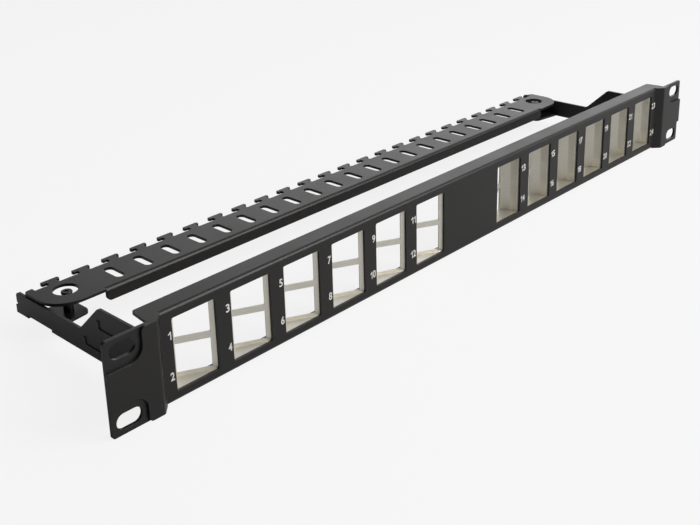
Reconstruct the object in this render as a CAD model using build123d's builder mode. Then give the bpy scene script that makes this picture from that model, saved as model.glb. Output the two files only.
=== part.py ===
"""Angled 24-port keystone patch panel for a 19 inch rack, with a rear cable bar on two arms.

Frame: X along the panel, Y to the rear, Z up, millimetres. The origin is the centre of the rack
slot pattern, and y = 0 is where the panel's ears lie on the rack flanges of the two arm brackets.
"""

import math
import os

from build123d import *

# Sheet gauges
panel_sheet = 1.2
arm_sheet = 1.5
bar_sheet = 1.5
carrier_sheet = 0.8

# Rack mounting
panel_width = 482.6
panel_height = 43.66
slot_inset = 8.75
slot_spacing_z = 31.75
slot_width = 7.2
slot_length = 12.6

# Front panel: ears, tongues and ramps
ear_width = 25.4
ear_inner_width = 7.9
tongue_height = 16.4
tongue_root_radius = 6.5
ear_corner_radius = 2.0
face_setback = 4.1
ramp_outer_radius = 2.0
ramp_inner_radius = 0.8

# Front panel: flanges
flange_reach = 10.7
flange_overhang = 3.5
flange_end_taper = 1.2
flange_corner_radius = 2.0
face_bend_radius = 1.8

# Windows in the face: two groups, mirrored about the middle, between the lands of the face
windows_per_group = 6
middle_land = 49.0
window_land = 8.5
end_land = 5.6
window_edge_land = 4.68
window_corner_radius = 0.9

# Port carriers: a box behind each window with one slanted plate
port_plate_angle = 27.0
port_bar = 3.1
port_floor_land = 1.25
port_margin_front = 2.2
port_margin_rear = 2.3
port_corner_radius = 0.4
return_angle = 55.0
return_width = 3.189
carrier_side_inset = 1.3
carrier_floor_inset = 0.15
carrier_gap = 1.7
carrier_flange_above = 2.5

# Arm brackets: rack flange, arm and gusset
arm_inset = 0.9
arm_bend_radius = 4.6
rack_flange_corner = 1.5
arm_length = 114.6
arm_bottom_z = -14.3
arm_top_z = -3.2
gusset_top_z = 12.2
gusset_corner_y = 42.0
gusset_foot_y = 58.5
gusset_corner_radius = 3.0
gusset_foot_radius = 5.0
arm_end_step = 2.2
arm_end_notch_z = -9.2
arm_end_notch = 0.9
arm_end_radius = 2.2
bead_width = 1.8
bead_depth = 0.5
bead_taper = 30.0
bead_corner_radius = 1.4
bead_reach = 12.5
upper_bead_corner = (42.3, 2.0)
upper_bead_rise = 4.6
lower_bead_corner = (54.7, -9.8)
lower_bead_rise = 4.1

# Arm brackets: tab folded inwards at the arm's bottom edge, below the bar
tab_bend_radius = 2.1
tab_past_eye = 7.3
tab_front_y = 83.5
tab_front_slant = 3.0
tab_rear_y = 104.0
tab_corner_radius = 3.5

# Cable bar
bar_end_gap = 0.7
bar_front_y = 79.6
bar_rear_y = 104.5
bar_end_radius = 15.0
bar_eye_diameter = 12.4
bar_bend_radius = 2.1
lip_height = 6.8
lip_end_inset = 28.3
lip_corner_radius = 2.5
tie_pitch = 17.44
tie_end_room = 14.0
tie_head_width = 9.8
tie_stem_width = 5.2
tie_stem_reach = 3.2
tie_head_reach = 2.3
tie_radius = 0.7
tie_root_radius = 0.8
end_tie_width = 4.7
end_tie_reach = 2.8
end_tie_radius = 2.4
bar_slot_end_room = 40.0
bar_slot_front_y = 85.5
bar_slot_rear_y = 99.5
bar_slot_width = 5.0

# Posts on the tabs with their screws, inside the bar's eyes
post_forward = 1.0
post_diameter = 5.0
post_hole_spare = 0.5
screw_diameter = 3.0
screw_reach = 5.0
screw_head_diameter = 5.6
screw_head_height = 1.0
screw_head_radius = 0.4
screw_recess_width = 0.7
screw_recess_length = 3.0
screw_recess_depth = 0.5

os.makedirs("parts", exist_ok=True)

# Places worked out from the sizes above
ear_front_y = -panel_sheet
face_front_y = ear_front_y + face_setback
face_rear_y = face_front_y + panel_sheet
flange_rear_y = face_front_y + flange_reach
ear_end_x = panel_width / 2
ramp_end_x = ear_end_x - ear_width
ramp_start_x = ramp_end_x - face_setback
fold_shift = panel_sheet * math.tan(math.radians(45) / 2)
flange_end_x = ramp_end_x + flange_overhang
tongue_start_x = ramp_end_x + ear_inner_width
slot_x = ear_end_x - slot_inset
arm_inner_x = ramp_end_x - arm_inset
arm_outer_x = arm_inner_x + arm_sheet
bar_half_length = arm_outer_x - bar_end_gap
bar_top_z = arm_top_z + bar_sheet
lip_half_length = bar_half_length - lip_end_inset
tie_count = 2 * math.floor((bar_half_length - tie_end_room) / tie_pitch + 0.5)
bar_slot_count = 2 * math.floor((bar_half_length - bar_slot_end_room) / tie_pitch) + 1
eye_x = bar_half_length - bar_end_radius
eye_y = bar_front_y + bar_end_radius
post_y = eye_y - post_forward
rack_hole_places = [
    (side * slot_x, level * slot_spacing_z / 2) for side in (-1, 1) for level in (-1, 1)
]
window_edge_x = middle_land / 2
window_pitch = (ramp_start_x - end_land - window_edge_x + window_land) / windows_per_group
window_width = window_pitch - window_land
window_height = panel_height - 2 * window_edge_land
window_centres = [
    side * (window_edge_x + window_width / 2 + window_pitch * place)
    for side in (-1, 1)
    for place in range(windows_per_group)
]
window_centres.sort()


# Front panel

fold_inner_radius = face_bend_radius - panel_sheet
channel_middle_y = (face_front_y + flange_rear_y) / 2
channel_inner_depth = flange_reach - panel_sheet

with BuildPart() as front_panel:
    # Channel of face and flanges, its profile drawn in the YZ plane
    with BuildSketch(Plane.YZ):
        with Locations((channel_middle_y, 0)):
            Rectangle(flange_reach, panel_height)
        with Locations((channel_middle_y + panel_sheet / 2, 0)):
            Rectangle(channel_inner_depth, panel_height - 2 * panel_sheet, mode=Mode.SUBTRACT)
    extrude(amount=ramp_start_x, both=True)
    long_edges = front_panel.edges().filter_by(Axis.X)
    fillet(long_edges.group_by(Axis.Y)[0], face_bend_radius)
    inner_edges = front_panel.edges().filter_by(Axis.X).filter_by(
        lambda edge: abs(edge.center().Y - face_rear_y) < 0.01
    )
    fillet(inner_edges, fold_inner_radius)

    # Ramps and ears, folded from the same sheet
    with BuildSketch(Plane.XY):
        for side in (-1, 1):
            with BuildLine():
                Polyline(
                    (side * ramp_start_x, face_front_y),
                    (side * ramp_end_x, ear_front_y),
                    (side * ear_end_x, ear_front_y),
                    (side * ear_end_x, 0),
                    (side * (ramp_end_x + fold_shift), 0),
                    (side * (ramp_start_x + fold_shift), face_rear_y),
                    (side * ramp_start_x, face_rear_y),
                    close=True,
                )
            make_face()
        outer_folds = vertices().filter_by(
            lambda vertex: abs(abs(vertex.X) - ramp_end_x) < 0.01
        )
        fillet(outer_folds, ramp_outer_radius)
        inner_folds = vertices().filter_by(
            lambda vertex: abs(abs(vertex.X) - ramp_end_x - fold_shift) < 0.01 and abs(vertex.Y) < 0.01
        )
        fillet(inner_folds, ramp_inner_radius)
    extrude(amount=panel_height / 2, both=True)

    # Ends of the flanges, running on over the ramps to the rear of the ears
    for level in (-1, 1):
        with BuildSketch(Plane.XY.offset(level * (panel_height - panel_sheet) / 2)):
            for side in (-1, 1):
                with BuildLine():
                    Polyline(
                        (side * ramp_start_x, face_rear_y - panel_sheet / 2),
                        (side * (ramp_end_x + fold_shift), ear_front_y / 2),
                        (side * flange_end_x, ear_front_y / 2),
                        (side * flange_end_x, face_rear_y),
                        (side * (flange_end_x - flange_end_taper), flange_rear_y),
                        (side * ramp_start_x, flange_rear_y),
                        close=True,
                    )
                make_face()
            rear_corners = vertices().filter_by(
                lambda vertex: abs(abs(vertex.X) - flange_end_x + flange_end_taper) < 0.01
            )
            fillet(rear_corners, flange_corner_radius)
        extrude(amount=panel_sheet / 2, both=True)

    # Notches at the corners of each ear leave the tongue and show the rack slots
    notch_width = ear_end_x - tongue_start_x
    notch_height = (panel_height - tongue_height) / 2
    with BuildSketch(Plane.XZ):
        for side in (-1, 1):
            for level in (-1, 1):
                notch_x = side * (tongue_start_x + notch_width / 2)
                notch_z = level * (tongue_height + notch_height) / 2
                with Locations((notch_x, notch_z)):
                    Rectangle(notch_width, notch_height)
    extrude(amount=panel_sheet, mode=Mode.SUBTRACT)
    root_edges = front_panel.edges().filter_by(Axis.Y).filter_by(
        lambda edge: abs(abs(edge.center().X) - tongue_start_x) < 0.01
        and abs(abs(edge.center().Z) - tongue_height / 2) < 0.01
    )
    fillet(root_edges, tongue_root_radius)
    corner_edges = front_panel.edges().filter_by(Axis.Y).filter_by(
        lambda edge: abs(abs(edge.center().X) - tongue_start_x) < 0.01
        and abs(abs(edge.center().Z) - panel_height / 2) < 0.01
    )
    fillet(corner_edges, ear_corner_radius)

    # Windows
    with BuildSketch(Plane.XZ.offset(-face_front_y)):
        for centre_x in window_centres:
            with Locations((centre_x, 0)):
                RectangleRounded(window_width, window_height, window_corner_radius)
    extrude(amount=-panel_sheet, mode=Mode.SUBTRACT)

front_panel.part.label = "front_panel"
export_step(front_panel.part, "parts/front_panel.step")


# Port carriers, one behind each window

plate_angle = math.radians(port_plate_angle)
side_wall_u = window_width - carrier_side_inset
plate_end_u = side_wall_u - return_width
plate_length = plate_end_u / math.cos(plate_angle)
plate_end_y = face_rear_y + plate_length * math.sin(plate_angle)
return_depth = return_width * math.tan(math.radians(return_angle))
cavity_height = window_height - 2 * carrier_floor_inset
box_height = cavity_height + 2 * carrier_sheet
carrier_flange = (window_land - carrier_gap) / 2
carrier_flange_height = window_height + 2 * carrier_flange_above
port_length = plate_length - port_margin_front - port_margin_rear
port_height = (cavity_height - port_bar) / 2 - port_floor_land
port_level = (port_bar + port_height) / 2
port_middle = port_margin_front + port_length / 2
port_cut_depth = 4 * carrier_sheet

for index, centre_x in enumerate(window_centres):
    hand = math.copysign(1, centre_x)
    # u runs from the shallow end of the slanted plate to its deep end
    shallow_x = centre_x - hand * window_width / 2
    plan = Plane(origin=(shallow_x, 0, 0), x_dir=(hand, 0, 0), z_dir=(0, 0, hand))
    plate_middle_x = shallow_x + hand * port_middle * math.cos(plate_angle)
    plate_middle_y = face_rear_y + port_middle * math.sin(plate_angle)
    plate_plane = Plane(
        origin=(plate_middle_x, plate_middle_y, 0),
        x_dir=(hand * math.cos(plate_angle), math.sin(plate_angle), 0),
        z_dir=(math.sin(plate_angle), -hand * math.cos(plate_angle), 0),
    )
    cavity_outline = [
        (0, face_rear_y),
        (plate_end_u, plate_end_y),
        (side_wall_u, plate_end_y - return_depth),
        (side_wall_u, face_rear_y),
    ]

    with BuildPart() as port_carrier:
        # Outer box, no further forward than the rear of the face
        with BuildSketch(plan):
            with BuildLine():
                Polyline(*cavity_outline, close=True)
            make_face()
            offset(amount=carrier_sheet, kind=Kind.INTERSECTION)
            with Locations((window_width / 2, face_rear_y + window_width / 2)):
                Rectangle(2 * window_width, window_width, mode=Mode.INTERSECT)
        extrude(amount=box_height / 2, both=True)

        # Flange against the rear of the face
        with BuildSketch(plan):
            with Locations((window_width / 2, face_rear_y + carrier_sheet / 2)):
                Rectangle(window_width + 2 * carrier_flange, carrier_sheet)
        extrude(amount=carrier_flange_height / 2, both=True)

        # Cavity
        with BuildSketch(plan):
            with BuildLine():
                Polyline(*cavity_outline, close=True)
            make_face()
        extrude(amount=cavity_height / 2, both=True, mode=Mode.SUBTRACT)

        # Two keystone openings through the slanted plate
        with BuildSketch(plate_plane):
            with Locations((0, port_level), (0, -port_level)):
                RectangleRounded(port_length, port_height, port_corner_radius)
        extrude(amount=port_cut_depth / 2, both=True, mode=Mode.SUBTRACT)

    carrier_name = f"port_carrier_{2 * index + 1:02d}_{2 * index + 2:02d}"
    port_carrier.part.label = carrier_name
    export_step(port_carrier.part, f"parts/{carrier_name}.step")


# Arm brackets, mirrored about the middle of the panel

bend_centre_x = arm_inner_x + arm_bend_radius
tab_bend_x = arm_outer_x - tab_bend_radius
tab_bend_z = arm_bottom_z + tab_bend_radius
tab_inner_x = eye_x - tab_past_eye
beads = (
    (upper_bead_corner, upper_bead_rise),
    (lower_bead_corner, lower_bead_rise),
)

for side, name in ((-1, "left"), (1, "right")):
    with BuildPart() as arm_bracket:
        # Arm and gusset, drawn in the YZ plane
        with BuildSketch(Plane.YZ.offset(side * (arm_inner_x + arm_sheet / 2))):
            with BuildLine():
                Polyline(
                    (arm_bend_radius, arm_bottom_z),
                    (tab_front_y, arm_bottom_z),
                    (tab_front_y, tab_bend_z),
                    (tab_rear_y, tab_bend_z),
                    (tab_rear_y, arm_bottom_z),
                    (arm_length, arm_bottom_z),
                    (arm_length, arm_end_notch_z - arm_end_notch),
                    (arm_length - arm_end_step, arm_end_notch_z),
                    (arm_length - arm_end_step / 2, arm_end_notch_z + arm_end_notch),
                    (arm_length - arm_end_step / 2, arm_top_z),
                    (gusset_foot_y, arm_top_z),
                    (gusset_corner_y, gusset_top_z),
                    (arm_bend_radius, gusset_top_z),
                    close=True,
                )
            make_face()
        extrude(amount=arm_sheet / 2, both=True)
        gusset_edges = arm_bracket.edges().filter_by(Axis.X).filter_by(
            lambda edge: gusset_corner_y - 1 < edge.center().Y < gusset_foot_y + 1
        )
        fillet(gusset_edges.group_by(Axis.Y)[0], gusset_corner_radius)
        foot_edges = arm_bracket.edges().filter_by(Axis.X).filter_by(
            lambda edge: abs(edge.center().Y - gusset_foot_y) < 0.01
        )
        fillet(foot_edges, gusset_foot_radius)
        end_edges = arm_bracket.edges().filter_by(Axis.X).filter_by(
            lambda edge: edge.center().Y > arm_length - arm_end_step
            and edge.center().Z > arm_end_notch_z + arm_end_notch + 0.1
        )
        fillet(end_edges, arm_end_radius)

        # Bend between the arm and the rack flange, drawn in plan
        with BuildSketch(Plane.XY.offset(arm_bottom_z)):
            with Locations((side * bend_centre_x, arm_bend_radius)):
                Circle(arm_bend_radius)
                Circle(arm_bend_radius - arm_sheet, mode=Mode.SUBTRACT)
            with Locations((side * (bend_centre_x - arm_bend_radius / 2), arm_bend_radius / 2)):
                Rectangle(arm_bend_radius, arm_bend_radius, mode=Mode.INTERSECT)
        extrude(amount=gusset_top_z - arm_bottom_z)

        # Rack flange with its slots
        rack_flange_width = ear_end_x - bend_centre_x
        with BuildSketch(Plane.XZ):
            with Locations((side * (bend_centre_x + rack_flange_width / 2), 0)):
                Rectangle(rack_flange_width, panel_height)
            outer_corners = vertices().sort_by(lambda vertex: -abs(vertex.X))[:2]
            fillet(outer_corners, rack_flange_corner)
            for hole_x, hole_z in rack_hole_places:
                if hole_x * side > 0:
                    with Locations((hole_x, hole_z)):
                        SlotOverall(slot_length, slot_width, mode=Mode.SUBTRACT)
        extrude(amount=-arm_sheet)

        # Bend between the arm and the tab
        with BuildSketch(Plane.XZ.offset(-tab_front_y)):
            with Locations((side * tab_bend_x, tab_bend_z)):
                Circle(tab_bend_radius)
                Circle(tab_bend_radius - arm_sheet, mode=Mode.SUBTRACT)
            with Locations((side * (tab_bend_x + tab_bend_radius / 2), tab_bend_z - tab_bend_radius / 2)):
                Rectangle(tab_bend_radius, tab_bend_radius, mode=Mode.INTERSECT)
        extrude(amount=tab_front_y - tab_rear_y)

        # Tab with its slanted front edge
        with BuildSketch(Plane.XY.offset(arm_bottom_z)):
            with BuildLine():
                Polyline(
                    (side * tab_bend_x, tab_front_y),
                    (side * tab_inner_x, tab_front_y + tab_front_slant),
                    (side * tab_inner_x, tab_rear_y),
                    (side * tab_bend_x, tab_rear_y),
                    close=True,
                )
            make_face()
            inner_corners = vertices().sort_by(lambda vertex: abs(vertex.X))[:2]
            fillet(inner_corners, tab_corner_radius)
        extrude(amount=arm_sheet)

        # Beads pressed out of the arm's outer side
        for (corner_y, corner_z), rise in beads:
            with BuildSketch(Plane.YZ.offset(side * arm_outer_x)):
                with BuildLine():
                    FilletPolyline(
                        (corner_y, corner_z + rise),
                        (corner_y, corner_z),
                        (corner_y - bead_reach, corner_z),
                        radius=bead_corner_radius,
                    )
                trace(line_width=bead_width)
            extrude(amount=side * bead_depth, taper=bead_taper)

    bracket_name = f"arm_bracket_{name}"
    arm_bracket.part.label = bracket_name
    export_step(arm_bracket.part, f"parts/{bracket_name}.step")


# Cable bar, lying on the top edges of the arms

bar_plane = Plane.XY.offset(arm_top_z)
lip_middle_y = bar_front_y + bar_sheet / 2
lip_top_z = bar_top_z - bar_bend_radius
lip_bottom_z = bar_top_z - lip_height
bar_slot_length = bar_slot_rear_y - bar_slot_front_y

with BuildPart() as cable_bar:
    with BuildSketch(bar_plane):
        # Blank with the two round front corners
        with Locations((0, (bar_front_y + bar_rear_y) / 2)):
            Rectangle(2 * bar_half_length, bar_rear_y - bar_front_y)
        fillet(vertices().group_by(Axis.Y)[0], bar_end_radius)

        # Tie points along the rear edge
        with Locations((0, bar_rear_y + tie_stem_reach / 2)):
            with GridLocations(tie_pitch, 1, tie_count, 1):
                Rectangle(tie_stem_width, tie_stem_reach)
        root_corners = vertices().filter_by(
            lambda vertex: abs(vertex.Y - bar_rear_y) < 0.01 and abs(vertex.X) < bar_half_length - 1
        )
        fillet(root_corners, tie_root_radius)
        with Locations((0, bar_rear_y + tie_stem_reach + tie_head_reach / 2)):
            with GridLocations(tie_pitch, 1, tie_count, 1):
                RectangleRounded(tie_head_width, tie_head_reach, tie_radius)
        for side in (-1, 1):
            with Locations((side * (bar_half_length - end_tie_width / 2), bar_rear_y + end_tie_reach / 2)):
                Rectangle(end_tie_width, end_tie_reach)
        end_corners = vertices().filter_by(
            lambda vertex: abs(vertex.Y - bar_rear_y - end_tie_reach) < 0.01
            and abs(abs(vertex.X) - bar_half_length) < 0.01
        )
        fillet(end_corners, end_tie_radius)

        # Room for the fold of the front lip
        with Locations((0, bar_front_y + bar_bend_radius / 2)):
            Rectangle(2 * lip_half_length, bar_bend_radius, mode=Mode.SUBTRACT)

        # Eyes at the ends and the row of slots between them
        for side in (-1, 1):
            with Locations((side * eye_x, eye_y)):
                Circle(bar_eye_diameter / 2, mode=Mode.SUBTRACT)
        with Locations((0, (bar_slot_front_y + bar_slot_rear_y) / 2)):
            with GridLocations(tie_pitch, 1, bar_slot_count, 1):
                SlotOverall(bar_slot_length, bar_slot_width, rotation=90, mode=Mode.SUBTRACT)
    extrude(amount=bar_sheet)

    # Fold of the front lip, its profile drawn in the YZ plane
    with BuildSketch(Plane.YZ):
        with Locations((bar_front_y + bar_bend_radius, lip_top_z)):
            Circle(bar_bend_radius)
            Circle(bar_bend_radius - bar_sheet, mode=Mode.SUBTRACT)
        with Locations((bar_front_y + bar_bend_radius / 2, lip_top_z + bar_bend_radius / 2)):
            Rectangle(bar_bend_radius, bar_bend_radius, mode=Mode.INTERSECT)
    extrude(amount=lip_half_length, both=True)

    # Front lip with rounded lower ends
    with BuildSketch(Plane.XZ.offset(-bar_front_y)):
        with Locations((0, (lip_top_z + lip_bottom_z) / 2)):
            Rectangle(2 * lip_half_length, lip_top_z - lip_bottom_z)
        fillet(vertices().group_by(Axis.Y)[0], lip_corner_radius)
    extrude(amount=-bar_sheet)

cable_bar.part.label = "cable_bar"
export_step(cable_bar.part, "parts/cable_bar.step")


# Posts standing on the tabs, and their screws inside the bar's eyes

tab_top_z = arm_bottom_z + arm_sheet
screw_head_top_z = arm_top_z + screw_head_height

for side, name in ((-1, "left"), (1, "right")):
    with BuildPart() as bar_post:
        with BuildSketch(Plane.XY.offset(tab_top_z)):
            with Locations((side * eye_x, post_y)):
                Circle(post_diameter / 2)
        extrude(amount=arm_top_z - tab_top_z)
        with BuildSketch(Plane.XY.offset(arm_top_z)):
            with Locations((side * eye_x, post_y)):
                Circle(screw_diameter / 2)
        extrude(amount=-(screw_reach + post_hole_spare), mode=Mode.SUBTRACT)
    post_name = f"bar_post_{name}"
    bar_post.part.label = post_name
    export_step(bar_post.part, f"parts/{post_name}.step")

    with BuildPart() as bar_screw:
        with BuildSketch(Plane.XY.offset(arm_top_z)):
            with Locations((side * eye_x, post_y)):
                Circle(screw_head_diameter / 2)
        extrude(amount=screw_head_height)
        fillet(bar_screw.edges().group_by(Axis.Z)[-1], screw_head_radius)
        with BuildSketch(Plane.XY.offset(arm_top_z)):
            with Locations((side * eye_x, post_y)):
                Circle(screw_diameter / 2)
        extrude(amount=-screw_reach)
        with BuildSketch(Plane.XY.offset(screw_head_top_z)):
            with Locations((side * eye_x, post_y)):
                Rectangle(screw_recess_length, screw_recess_width)
                Rectangle(screw_recess_width, screw_recess_length)
        extrude(amount=-screw_recess_depth, mode=Mode.SUBTRACT)
    screw_name = f"bar_screw_{name}"
    bar_screw.part.label = screw_name
    export_step(bar_screw.part, f"parts/{screw_name}.step")
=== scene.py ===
import math

import bmesh
import bpy
from mathutils import Matrix, Vector


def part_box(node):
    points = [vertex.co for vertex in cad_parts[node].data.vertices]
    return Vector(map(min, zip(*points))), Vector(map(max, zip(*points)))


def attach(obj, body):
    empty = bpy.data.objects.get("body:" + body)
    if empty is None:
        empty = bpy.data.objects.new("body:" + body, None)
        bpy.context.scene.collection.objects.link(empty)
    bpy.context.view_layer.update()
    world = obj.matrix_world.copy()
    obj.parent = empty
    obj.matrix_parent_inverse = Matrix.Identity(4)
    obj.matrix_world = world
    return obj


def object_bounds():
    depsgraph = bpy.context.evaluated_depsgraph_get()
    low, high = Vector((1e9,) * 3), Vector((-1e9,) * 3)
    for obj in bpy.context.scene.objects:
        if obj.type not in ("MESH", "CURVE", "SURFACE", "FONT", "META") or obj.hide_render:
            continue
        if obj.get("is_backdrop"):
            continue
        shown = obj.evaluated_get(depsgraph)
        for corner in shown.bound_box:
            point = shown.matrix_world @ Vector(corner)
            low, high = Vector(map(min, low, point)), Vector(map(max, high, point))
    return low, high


bl_info = {
    "name": "Keystone Patch Panel",
    "version": (1, 0, 0),
    "blender": (4, 5, 0),
    "location": "3D View > Sidebar > Patch Panel",
    "description": "Finishes, port numbers and studio of an angled keystone patch panel",
    "category": "Object",
}

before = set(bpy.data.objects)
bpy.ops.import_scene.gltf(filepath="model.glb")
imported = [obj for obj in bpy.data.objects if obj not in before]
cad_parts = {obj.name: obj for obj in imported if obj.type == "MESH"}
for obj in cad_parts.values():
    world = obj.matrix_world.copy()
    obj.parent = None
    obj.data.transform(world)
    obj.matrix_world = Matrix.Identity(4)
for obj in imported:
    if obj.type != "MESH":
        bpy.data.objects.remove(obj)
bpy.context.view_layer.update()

MM = 0.001
WHITE = (1.0, 1.0, 1.0, 1.0)

# Where the photograph was taken from, in the object's own frame
CAMERA_PLACE_MM = (-429.16, -312.57, 220.94)
CAMERA_YAW = 0.812
CAMERA_PITCH = 0.323
CAMERA_ROLL = -0.026
FOCAL_LENGTH_PX = 1029.6
HORIZON_CENTRE_PX = 136.5
IMAGE_WIDTH_PX = 700
IMAGE_HEIGHT_PX = 525
SENSOR_WIDTH_MM = 36.0
NEAREST_SEEN = 0.01
FURTHEST_SEEN = 20.0

# The floor, and the share of plain white that the camera sees on it
FLOOR_HALF_WIDTH = 3.0
FLOOR_COLOUR = "#d4d4d4"
FLOOR_WHITE = 0.84

# The room around the object: which way its pale side lies, how light its two sides are, and between
# which values of a direction's dot product with PALE_SIDE the one turns into the other
PALE_SIDE = (0.85, 0.30, -0.25)
PALE_LEVEL = 1.65
DIM_LEVEL = 0.06
DIM_END = 0.3
PALE_START = 0.85

# Lamps: name, place in metres, power in watts, width in metres
LAMPS = (
    ("top_softbox", (0.3, -0.5, 1.8), 10.0, 1.4),
    ("front_softbox", (0.7, -1.15, 0.95), 22.0, 1.1),
)

# The coat: how far its roughness wanders to either side, its dimples, and its refractive index
SHEEN_SPREAD = 0.03
DIMPLE_STRENGTH = 0.25
DIMPLE_DEPTH = 0.03 * MM
COAT_IOR = 1.44

# The values of a noise pattern between which the coat's roughness wanders
NOISE_LOW = 0.3
NOISE_HIGH = 0.7

# How many times longer than high the streaks of the rolled sheet are
STREAK_STRETCH = 12.0

INK_ROUGHNESS = 0.6

# The panel's windows and the reach of its flanges from the front of the face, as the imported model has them
WINDOW_WIDTH = 23.2 * MM
FLANGE_REACH = 10.7 * MM

# Printed digits: the font's digit height in font sizes, the space between digits in digit heights, the
# boldness, and the outline of a 1 with its flag in digit heights
FONT_DIGIT_HEIGHT = 0.73
DIGIT_SPACING = 0.1
DIGIT_BOLDNESS = 0.12 * MM
FLAGGED_ONE = (
    (0.26, 0.0), (0.26, 0.74), (0.14, 0.67), (0.0, 0.62), (0.0, 0.75),
    (0.16, 0.84), (0.27, 1.0), (0.40, 1.0), (0.40, 0.0),
)

coated_pieces = ("front_panel", "arm_bracket_left", "arm_bracket_right", "cable_bar")
fasteners = ("bar_post_left", "bar_post_right", "bar_screw_left", "bar_screw_right")
carriers = sorted(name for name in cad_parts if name.startswith("port_carrier"))


# Helpers

def linear_colour(hex_colour):
    """An sRGB colour such as #1c1c1c as linear red, green, blue and alpha."""
    channels = [int(hex_colour[place:place + 2], 16) / 255 for place in (1, 3, 5)]
    straight = [value / 12.92 if value <= 0.04045 else ((value + 0.055) / 1.055) ** 2.4 for value in channels]
    return (*straight, 1.0)


def shaded(colour, factor):
    """A colour made lighter or darker."""
    return (*(factor * value for value in colour[:3]), 1.0)


def add_node(tree, kind, settings=None, inputs=None, links=None):
    """Adds one shader node, sets its properties and socket values, and links sockets into it."""
    node = tree.nodes.new(kind)
    for name, value in (settings or {}).items():
        setattr(node, name, value)
    for name, value in (inputs or {}).items():
        node.inputs[name].default_value = value
    for name, socket in (links or {}).items():
        tree.links.new(socket, node.inputs[name])
    return node


def empty_material(name):
    """A material with an empty node tree and its output node."""
    material = bpy.data.materials.new(name)
    material.use_nodes = True
    material.node_tree.nodes.clear()
    output = add_node(material.node_tree, "ShaderNodeOutputMaterial")
    return material, material.node_tree, output


def noise(tree, place, width, detail, roughness=0.5):
    """Noise with blotches of about the given width."""
    return add_node(
        tree, "ShaderNodeTexNoise", {"noise_dimensions": "3D"},
        {"Scale": 1 / width, "Detail": detail, "Roughness": roughness}, {"Vector": place}
    ).outputs["Fac"]


def varied(tree, colour, pattern, darkest, lightest):
    """A colour that wanders with a pattern between a darker and a lighter shade of itself."""
    return add_node(
        tree, "ShaderNodeMix", {"data_type": "RGBA"},
        {"A": shaded(colour, darkest), "B": shaded(colour, lightest)}, {"Factor": pattern}
    ).outputs["Result"]


def dress(names, material):
    """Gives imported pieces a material."""
    for name in names:
        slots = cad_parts[name].data.materials
        slots.clear()
        slots.append(material)


# Settings a user would change

length = {"unit": "LENGTH", "precision": 5}
share = {"min": 0, "max": 1}


class PatchPanelFinish(bpy.types.PropertyGroup):
    coat_colour: bpy.props.StringProperty(
        name="Powder coat colour", description="sRGB hex colour of the black powder coat", default="#1d1b1a"
    )
    coat_roughness: bpy.props.FloatProperty(
        name="Powder coat roughness", description="Roughness of the satin coat", default=0.36, **share
    )
    coat_grain: bpy.props.FloatProperty(
        name="Powder coat grain", description="Width of one dimple of the coat", default=0.9 * MM, **length
    )
    coat_edge: bpy.props.FloatProperty(
        name="Powder coat edge", description="Radius at which the coat rounds a cut edge",
        default=0.4 * MM, **length
    )
    nickel_colour: bpy.props.StringProperty(
        name="Carrier colour", description="sRGB hex colour of the plated port carriers", default="#eeeadf"
    )
    nickel_roughness: bpy.props.FloatProperty(
        name="Carrier roughness", description="Roughness of the rolled and plated sheet", default=0.5, **share
    )
    fastener_colour: bpy.props.StringProperty(
        name="Fastener colour", description="sRGB hex colour of the blackened fasteners", default="#4a4846"
    )
    fastener_roughness: bpy.props.FloatProperty(
        name="Fastener roughness", description="Roughness of the blackened fasteners", default=0.38, **share
    )
    ink_colour: bpy.props.StringProperty(
        name="Number colour", description="sRGB hex colour of the printed port numbers", default="#e9e7e2"
    )


class PatchPanelSizes(bpy.types.PropertyGroup):
    number_height: bpy.props.FloatProperty(
        name="Number height", description="Height of the printed port numbers", default=3.9 * MM, **length
    )
    digit_width: bpy.props.FloatProperty(
        name="Digit width", description="Width of every printed digit but the 1", default=2.1 * MM, **length
    )
    number_level: bpy.props.FloatProperty(
        name="Number level", description="Height of the numbers' middle above and below the panel's middle",
        default=9.6 * MM, **length
    )
    number_gap: bpy.props.FloatProperty(
        name="Number gap", description="Space between a number and its window", default=0.8 * MM, **length
    )
    ink_thickness: bpy.props.FloatProperty(
        name="Ink thickness", description="How far the printed numbers stand proud of the face",
        default=0.03 * MM, **length
    )


# Materials

def powder_coat(settings):
    """Satin polyester powder coat, sprayed on sheet steel and baked.

    The eye gets a nearly black, even coat with a soft sheen, the faint orange peel of the melted powder, and
    cut edges that the coat has rounded.
    """
    material, tree, output = empty_material("black_powder_coat")
    place = add_node(tree, "ShaderNodeTexCoord").outputs["Object"]
    peel = noise(tree, place, width=settings.coat_grain, detail=2.0)
    clouds = noise(tree, place, width=25 * MM, detail=3.0, roughness=0.6)
    tone = varied(tree, linear_colour(settings.coat_colour), clouds, darkest=0.90, lightest=1.10)
    sheen = add_node(
        tree, "ShaderNodeMapRange", None,
        {
            "From Min": NOISE_LOW, "From Max": NOISE_HIGH,
            "To Min": settings.coat_roughness - SHEEN_SPREAD,
            "To Max": settings.coat_roughness + SHEEN_SPREAD,
        },
        {"Value": clouds}
    ).outputs["Result"]
    rounded_edges = add_node(
        tree, "ShaderNodeBevel", {"samples": 4}, {"Radius": settings.coat_edge}
    ).outputs["Normal"]
    dimples = add_node(
        tree, "ShaderNodeBump", None, {"Strength": DIMPLE_STRENGTH, "Distance": DIMPLE_DEPTH},
        {"Height": peel, "Normal": rounded_edges}
    ).outputs["Normal"]
    shader = add_node(
        tree, "ShaderNodeBsdfPrincipled", None, {"IOR": COAT_IOR},
        {"Base Color": tone, "Roughness": sheen, "Normal": dimples}
    )
    tree.links.new(shader.outputs["BSDF"], output.inputs["Surface"])
    return material


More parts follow.
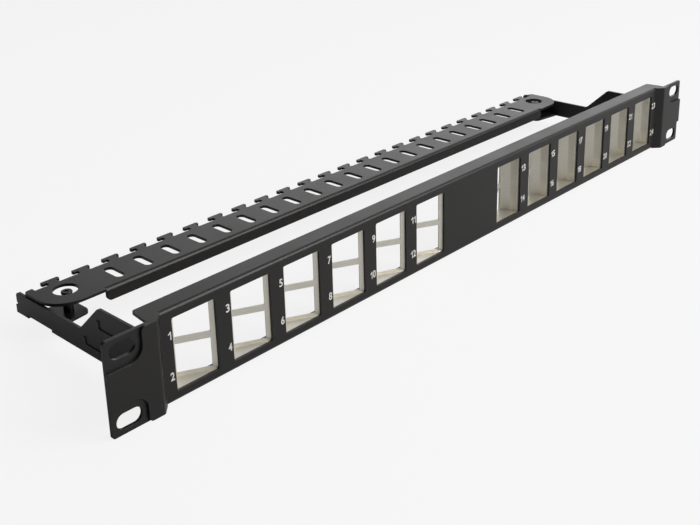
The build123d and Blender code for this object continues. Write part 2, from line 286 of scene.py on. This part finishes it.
def nickel_sheet(settings):
    """Nickel-plated sheet steel, rolled before it was plated.

    The eye gets a warm pale grey metal with a soft, slightly streaked reflection.
    """
    material, tree, output = empty_material("nickel_plated_sheet")
    place = add_node(tree, "ShaderNodeTexCoord").outputs["Object"]
    stretched = add_node(
        tree, "ShaderNodeMapping", None, {"Scale": (1.0, 1.0, STREAK_STRETCH)}, {"Vector": place}
    ).outputs["Vector"]
    streaks = noise(tree, stretched, width=9 * MM, detail=4.0, roughness=0.6)
    tone = varied(tree, linear_colour(settings.nickel_colour), streaks, darkest=0.92, lightest=1.06)
    shader = add_node(
        tree, "ShaderNodeBsdfPrincipled", None,
        {"Metallic": 1.0, "Roughness": settings.nickel_roughness}, {"Base Color": tone}
    )
    tree.links.new(shader.outputs["BSDF"], output.inputs["Surface"])
    return material


def blackened_steel(settings):
    """Blackened steel of the small fasteners: dark metal with a soft glint."""
    material, tree, output = empty_material("blackened_steel")
    place = add_node(tree, "ShaderNodeTexCoord").outputs["Object"]
    wear = noise(tree, place, width=1.5 * MM, detail=2.0)
    tone = varied(tree, linear_colour(settings.fastener_colour), wear, darkest=0.8, lightest=1.0)
    shader = add_node(
        tree, "ShaderNodeBsdfPrincipled", None,
        {"Metallic": 1.0, "Roughness": settings.fastener_roughness}, {"Base Color": tone}
    )
    tree.links.new(shader.outputs["BSDF"], output.inputs["Surface"])
    return material


def number_ink(settings):
    """White screen-printing ink: a matt, slightly uneven white film."""
    material, tree, output = empty_material("white_screen_print")
    place = add_node(tree, "ShaderNodeTexCoord").outputs["Object"]
    film = noise(tree, place, width=0.6 * MM, detail=2.0)
    tone = varied(tree, linear_colour(settings.ink_colour), film, darkest=0.88, lightest=1.0)
    shader = add_node(
        tree, "ShaderNodeBsdfPrincipled", None, {"Roughness": INK_ROUGHNESS}, {"Base Color": tone}
    )
    tree.links.new(shader.outputs["BSDF"], output.inputs["Surface"])
    return material


# Port numbers

def flagged_one(height):
    """The outline of a 1 with its flag, which the built-in font leaves off."""
    curve = bpy.data.curves.new("digit", "CURVE")
    curve.dimensions = "2D"
    curve.fill_mode = "BOTH"
    outline = curve.splines.new("POLY")
    outline.points.add(len(FLAGGED_ONE) - 1)
    for point, (across, up) in zip(outline.points, FLAGGED_ONE):
        point.co = (across * height, (up - 0.5) * height, 0, 1)
    outline.use_cyclic_u = True
    return curve


def font_digit(digit, height):
    """The outline of a digit of the built-in font."""
    curve = bpy.data.curves.new("digit", "FONT")
    curve.body = digit
    curve.align_y = "CENTER"
    curve.size = height / FONT_DIGIT_HEIGHT
    curve.offset = DIGIT_BOLDNESS
    return curve


def digit_mesh(digit, sizes):
    """The mesh of one digit in the XY plane, with its left edge at x = 0, and its width."""
    height = sizes.number_height
    curve = flagged_one(height) if digit == "1" else font_digit(digit, height)
    curve.extrude = sizes.ink_thickness / 2
    holder = bpy.data.objects.new("digit_outline", curve)
    bpy.context.scene.collection.objects.link(holder)
    bpy.context.view_layer.update()
    mesh = bpy.data.meshes.new_from_object(holder.evaluated_get(bpy.context.evaluated_depsgraph_get()))
    bpy.data.objects.remove(holder)
    bpy.data.curves.remove(curve)
    left = min(vertex.co.x for vertex in mesh.vertices)
    right = max(vertex.co.x for vertex in mesh.vertices)
    width = right - left if digit == "1" else sizes.digit_width
    fit = Matrix.Diagonal((width / (right - left), 1, 1, 1))
    mesh.transform(fit @ Matrix.Translation((-left, 0, 0)))
    return mesh, width


def print_number(number, edge_x, ends_there, face_y, level, sizes, ink):
    """One port number as a thin film of ink on the face, which starts or ends at edge_x."""
    digits = [digit_mesh(digit, sizes) for digit in str(number)]
    spacing = DIGIT_SPACING * sizes.number_height
    total = sum(width for mesh, width in digits) + spacing * (len(digits) - 1)
    pen = edge_x - total if ends_there else edge_x
    upright = Matrix.Rotation(math.pi / 2, 4, "X")
    whole = bmesh.new()
    for mesh, width in digits:
        mesh.transform(Matrix.Translation((pen, face_y - sizes.ink_thickness / 2, level)) @ upright)
        whole.from_mesh(mesh)
        bpy.data.meshes.remove(mesh)
        pen += width + spacing
    film = bpy.data.meshes.new(f"number_{number:02d}")
    whole.to_mesh(film)
    whole.free()
    film.materials.append(ink)
    piece = bpy.data.objects.new(f"port_number_{number:02d}", film)
    bpy.context.scene.collection.objects.link(piece)
    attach(piece, "root")


# Stage

def make_floor():
    """A pale floor at the level of the object's lowest point."""
    half = FLOOR_HALF_WIDTH
    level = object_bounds()[0].z
    mesh = bpy.data.meshes.new("floor")
    corners = [(-half, -half, level), (half, -half, level), (half, half, level), (-half, half, level)]
    mesh.from_pydata(corners, [], [(0, 1, 2, 3)])
    floor = bpy.data.objects.new("floor", mesh)
    bpy.context.scene.collection.objects.link(floor)
    floor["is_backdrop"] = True
    material, tree, output = empty_material("pale_floor")
    paint = add_node(
        tree, "ShaderNodeBsdfDiffuse", None, {"Color": linear_colour(FLOOR_COLOUR)}
    ).outputs["BSDF"]
    glow = add_node(
        tree, "ShaderNodeEmission", None, {"Color": WHITE, "Strength": 1.0}
    ).outputs["Emission"]
    rays = add_node(tree, "ShaderNodeLightPath")
    seen = add_node(
        tree, "ShaderNodeMath", {"operation": "MULTIPLY"},
        {1: FLOOR_WHITE}, {0: rays.outputs["Is Camera Ray"]}
    ).outputs["Value"]
    blend = add_node(tree, "ShaderNodeMixShader", None, None, {0: seen, 1: paint, 2: glow})
    tree.links.new(blend.outputs["Shader"], output.inputs["Surface"])
    mesh.materials.append(material)


def make_world(scene):
    """A white backdrop for the camera, and around the object a room with a pale and a dim side."""
    world = bpy.data.worlds.new("studio")
    world.use_nodes = True
    tree = world.node_tree
    tree.nodes.clear()
    output = add_node(tree, "ShaderNodeOutputWorld")
    rays = add_node(tree, "ShaderNodeLightPath")
    direction = add_node(tree, "ShaderNodeTexCoord").outputs["Generated"]
    along = add_node(
        tree, "ShaderNodeVectorMath", {"operation": "DOT_PRODUCT"}, {1: PALE_SIDE}, {0: direction}
    ).outputs["Value"]
    level = add_node(
        tree, "ShaderNodeMapRange", {"interpolation_type": "SMOOTHSTEP"},
        {"From Min": DIM_END, "From Max": PALE_START, "To Min": DIM_LEVEL, "To Max": PALE_LEVEL},
        {"Value": along}
    ).outputs["Result"]
    room = add_node(
        tree, "ShaderNodeBackground", None, {"Color": WHITE}, {"Strength": level}
    ).outputs["Background"]
    backdrop = add_node(
        tree, "ShaderNodeBackground", None, {"Color": WHITE, "Strength": 1.0}
    ).outputs["Background"]
    blend = add_node(
        tree, "ShaderNodeMixShader", None, None, {0: rays.outputs["Is Camera Ray"], 1: room, 2: backdrop}
    )
    tree.links.new(blend.outputs["Shader"], output.inputs["Surface"])
    scene.world = world


def make_lights():
    """Large soft lamps, aimed at the origin."""
    for name, place, power, width in LAMPS:
        lamp = bpy.data.lights.new(name, "AREA")
        lamp.energy = power
        lamp.size = width
        holder = bpy.data.objects.new(name, lamp)
        bpy.context.scene.collection.objects.link(holder)
        holder.location = place
        holder.rotation_mode = "QUATERNION"
        holder.rotation_quaternion = (-Vector(place)).to_track_quat("-Z", "Y")


def make_camera(scene):
    """The camera at the photograph's own place and angle."""
    ahead = Vector((
        math.sin(CAMERA_YAW) * math.cos(CAMERA_PITCH),
        math.cos(CAMERA_YAW) * math.cos(CAMERA_PITCH),
        -math.sin(CAMERA_PITCH),
    ))
    level_right = Vector((math.cos(CAMERA_YAW), -math.sin(CAMERA_YAW), 0))
    level_up = level_right.cross(ahead)
    right = level_right * math.cos(CAMERA_ROLL) + level_up * math.sin(CAMERA_ROLL)
    up = level_up * math.cos(CAMERA_ROLL) - level_right * math.sin(CAMERA_ROLL)
    lens = bpy.data.cameras.new("camera")
    lens.sensor_width = SENSOR_WIDTH_MM
    lens.lens = FOCAL_LENGTH_PX / IMAGE_WIDTH_PX * SENSOR_WIDTH_MM
    lens.shift_y = (HORIZON_CENTRE_PX - IMAGE_HEIGHT_PX / 2) / IMAGE_WIDTH_PX
    lens.clip_start = NEAREST_SEEN
    lens.clip_end = FURTHEST_SEEN
    camera = bpy.data.objects.new("camera", lens)
    scene.collection.objects.link(camera)
    place = Vector(CAMERA_PLACE_MM) * MM
    camera.matrix_world = Matrix((
        (right.x, up.x, -ahead.x, place.x),
        (right.y, up.y, -ahead.y, place.y),
        (right.z, up.z, -ahead.z, place.z),
        (0, 0, 0, 1),
    ))
    scene.camera = camera


# Operators

class PATCHPANEL_OT_coated_sheet(bpy.types.Operator):
    """Powder coats the panel, the arm brackets and the cable bar"""
    bl_idname = "patch_panel.coated_sheet"
    bl_label = "Coated Sheet"

    def execute(self, context):
        dress(coated_pieces, powder_coat(context.scene.patch_panel_finish))
        return {"FINISHED"}


class PATCHPANEL_OT_port_carriers(bpy.types.Operator):
    """Plates the port carriers behind the windows"""
    bl_idname = "patch_panel.port_carriers"
    bl_label = "Port Carriers"

    def execute(self, context):
        dress(carriers, nickel_sheet(context.scene.patch_panel_finish))
        return {"FINISHED"}


class PATCHPANEL_OT_fasteners(bpy.types.Operator):
    """Blackens the posts on the arms' tabs and their screws"""
    bl_idname = "patch_panel.fasteners"
    bl_label = "Fasteners"

    def execute(self, context):
        dress(fasteners, blackened_steel(context.scene.patch_panel_finish))
        return {"FINISHED"}


class PATCHPANEL_OT_port_numbers(bpy.types.Operator):
    """Prints the port numbers beside the windows, on the side towards the nearer end of the panel"""
    bl_idname = "patch_panel.port_numbers"
    bl_label = "Port Numbers"

    def execute(self, context):
        sizes = context.scene.patch_panel_sizes
        ink = number_ink(context.scene.patch_panel_finish)
        face_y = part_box("front_panel")[1].y - FLANGE_REACH
        for index, name in enumerate(carriers):
            low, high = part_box(name)
            middle_x = (low.x + high.x) / 2
            on_left = middle_x < 0
            outward = -1 if on_left else 1
            edge_x = middle_x + outward * (WINDOW_WIDTH / 2 + sizes.number_gap)
            for step, level in enumerate((sizes.number_level, -sizes.number_level)):
                print_number(2 * index + 1 + step, edge_x, on_left, face_y, level, sizes, ink)
        return {"FINISHED"}


class PATCHPANEL_OT_stage(bpy.types.Operator):
    """Sets up the pale floor, the room, the soft lamps and the camera"""
    bl_idname = "patch_panel.stage"
    bl_label = "Stage"

    def execute(self, context):
        make_floor()
        make_world(context.scene)
        make_lights()
        make_camera(context.scene)
        context.scene.view_settings.view_transform = "Standard"
        return {"FINISHED"}


class PATCHPANEL_PT_sidebar(bpy.types.Panel):
    """Lists the settings and the steps that dress the patch panel"""
    bl_idname = "PATCHPANEL_PT_sidebar"
    bl_label = "Patch Panel"
    bl_space_type = "VIEW_3D"
    bl_region_type = "UI"
    bl_category = "Patch Panel"

    def draw(self, context):
        for group in (context.scene.patch_panel_finish, context.scene.patch_panel_sizes):
            for name in group.__annotations__:
                self.layout.prop(group, name)
        for step in STEPS:
            self.layout.operator(step.bl_idname)


STEPS = (
    PATCHPANEL_OT_coated_sheet,
    PATCHPANEL_OT_port_carriers,
    PATCHPANEL_OT_fasteners,
    PATCHPANEL_OT_port_numbers,
    PATCHPANEL_OT_stage,
)
CLASSES = (PatchPanelFinish, PatchPanelSizes, *STEPS, PATCHPANEL_PT_sidebar)


def register():
    for item in CLASSES:
        bpy.utils.register_class(item)
    bpy.types.Scene.patch_panel_finish = bpy.props.PointerProperty(type=PatchPanelFinish)
    bpy.types.Scene.patch_panel_sizes = bpy.props.PointerProperty(type=PatchPanelSizes)


def unregister():
    del bpy.types.Scene.patch_panel_sizes
    del bpy.types.Scene.patch_panel_finish
    for item in reversed(CLASSES):
        bpy.utils.unregister_class(item)


def main():
    """Dresses the whole object."""
    register()
    bpy.ops.patch_panel.coated_sheet()
    bpy.ops.patch_panel.port_carriers()
    bpy.ops.patch_panel.fasteners()
    bpy.ops.patch_panel.port_numbers()
    bpy.ops.patch_panel.stage()


if __name__ == "__main__":
    main()
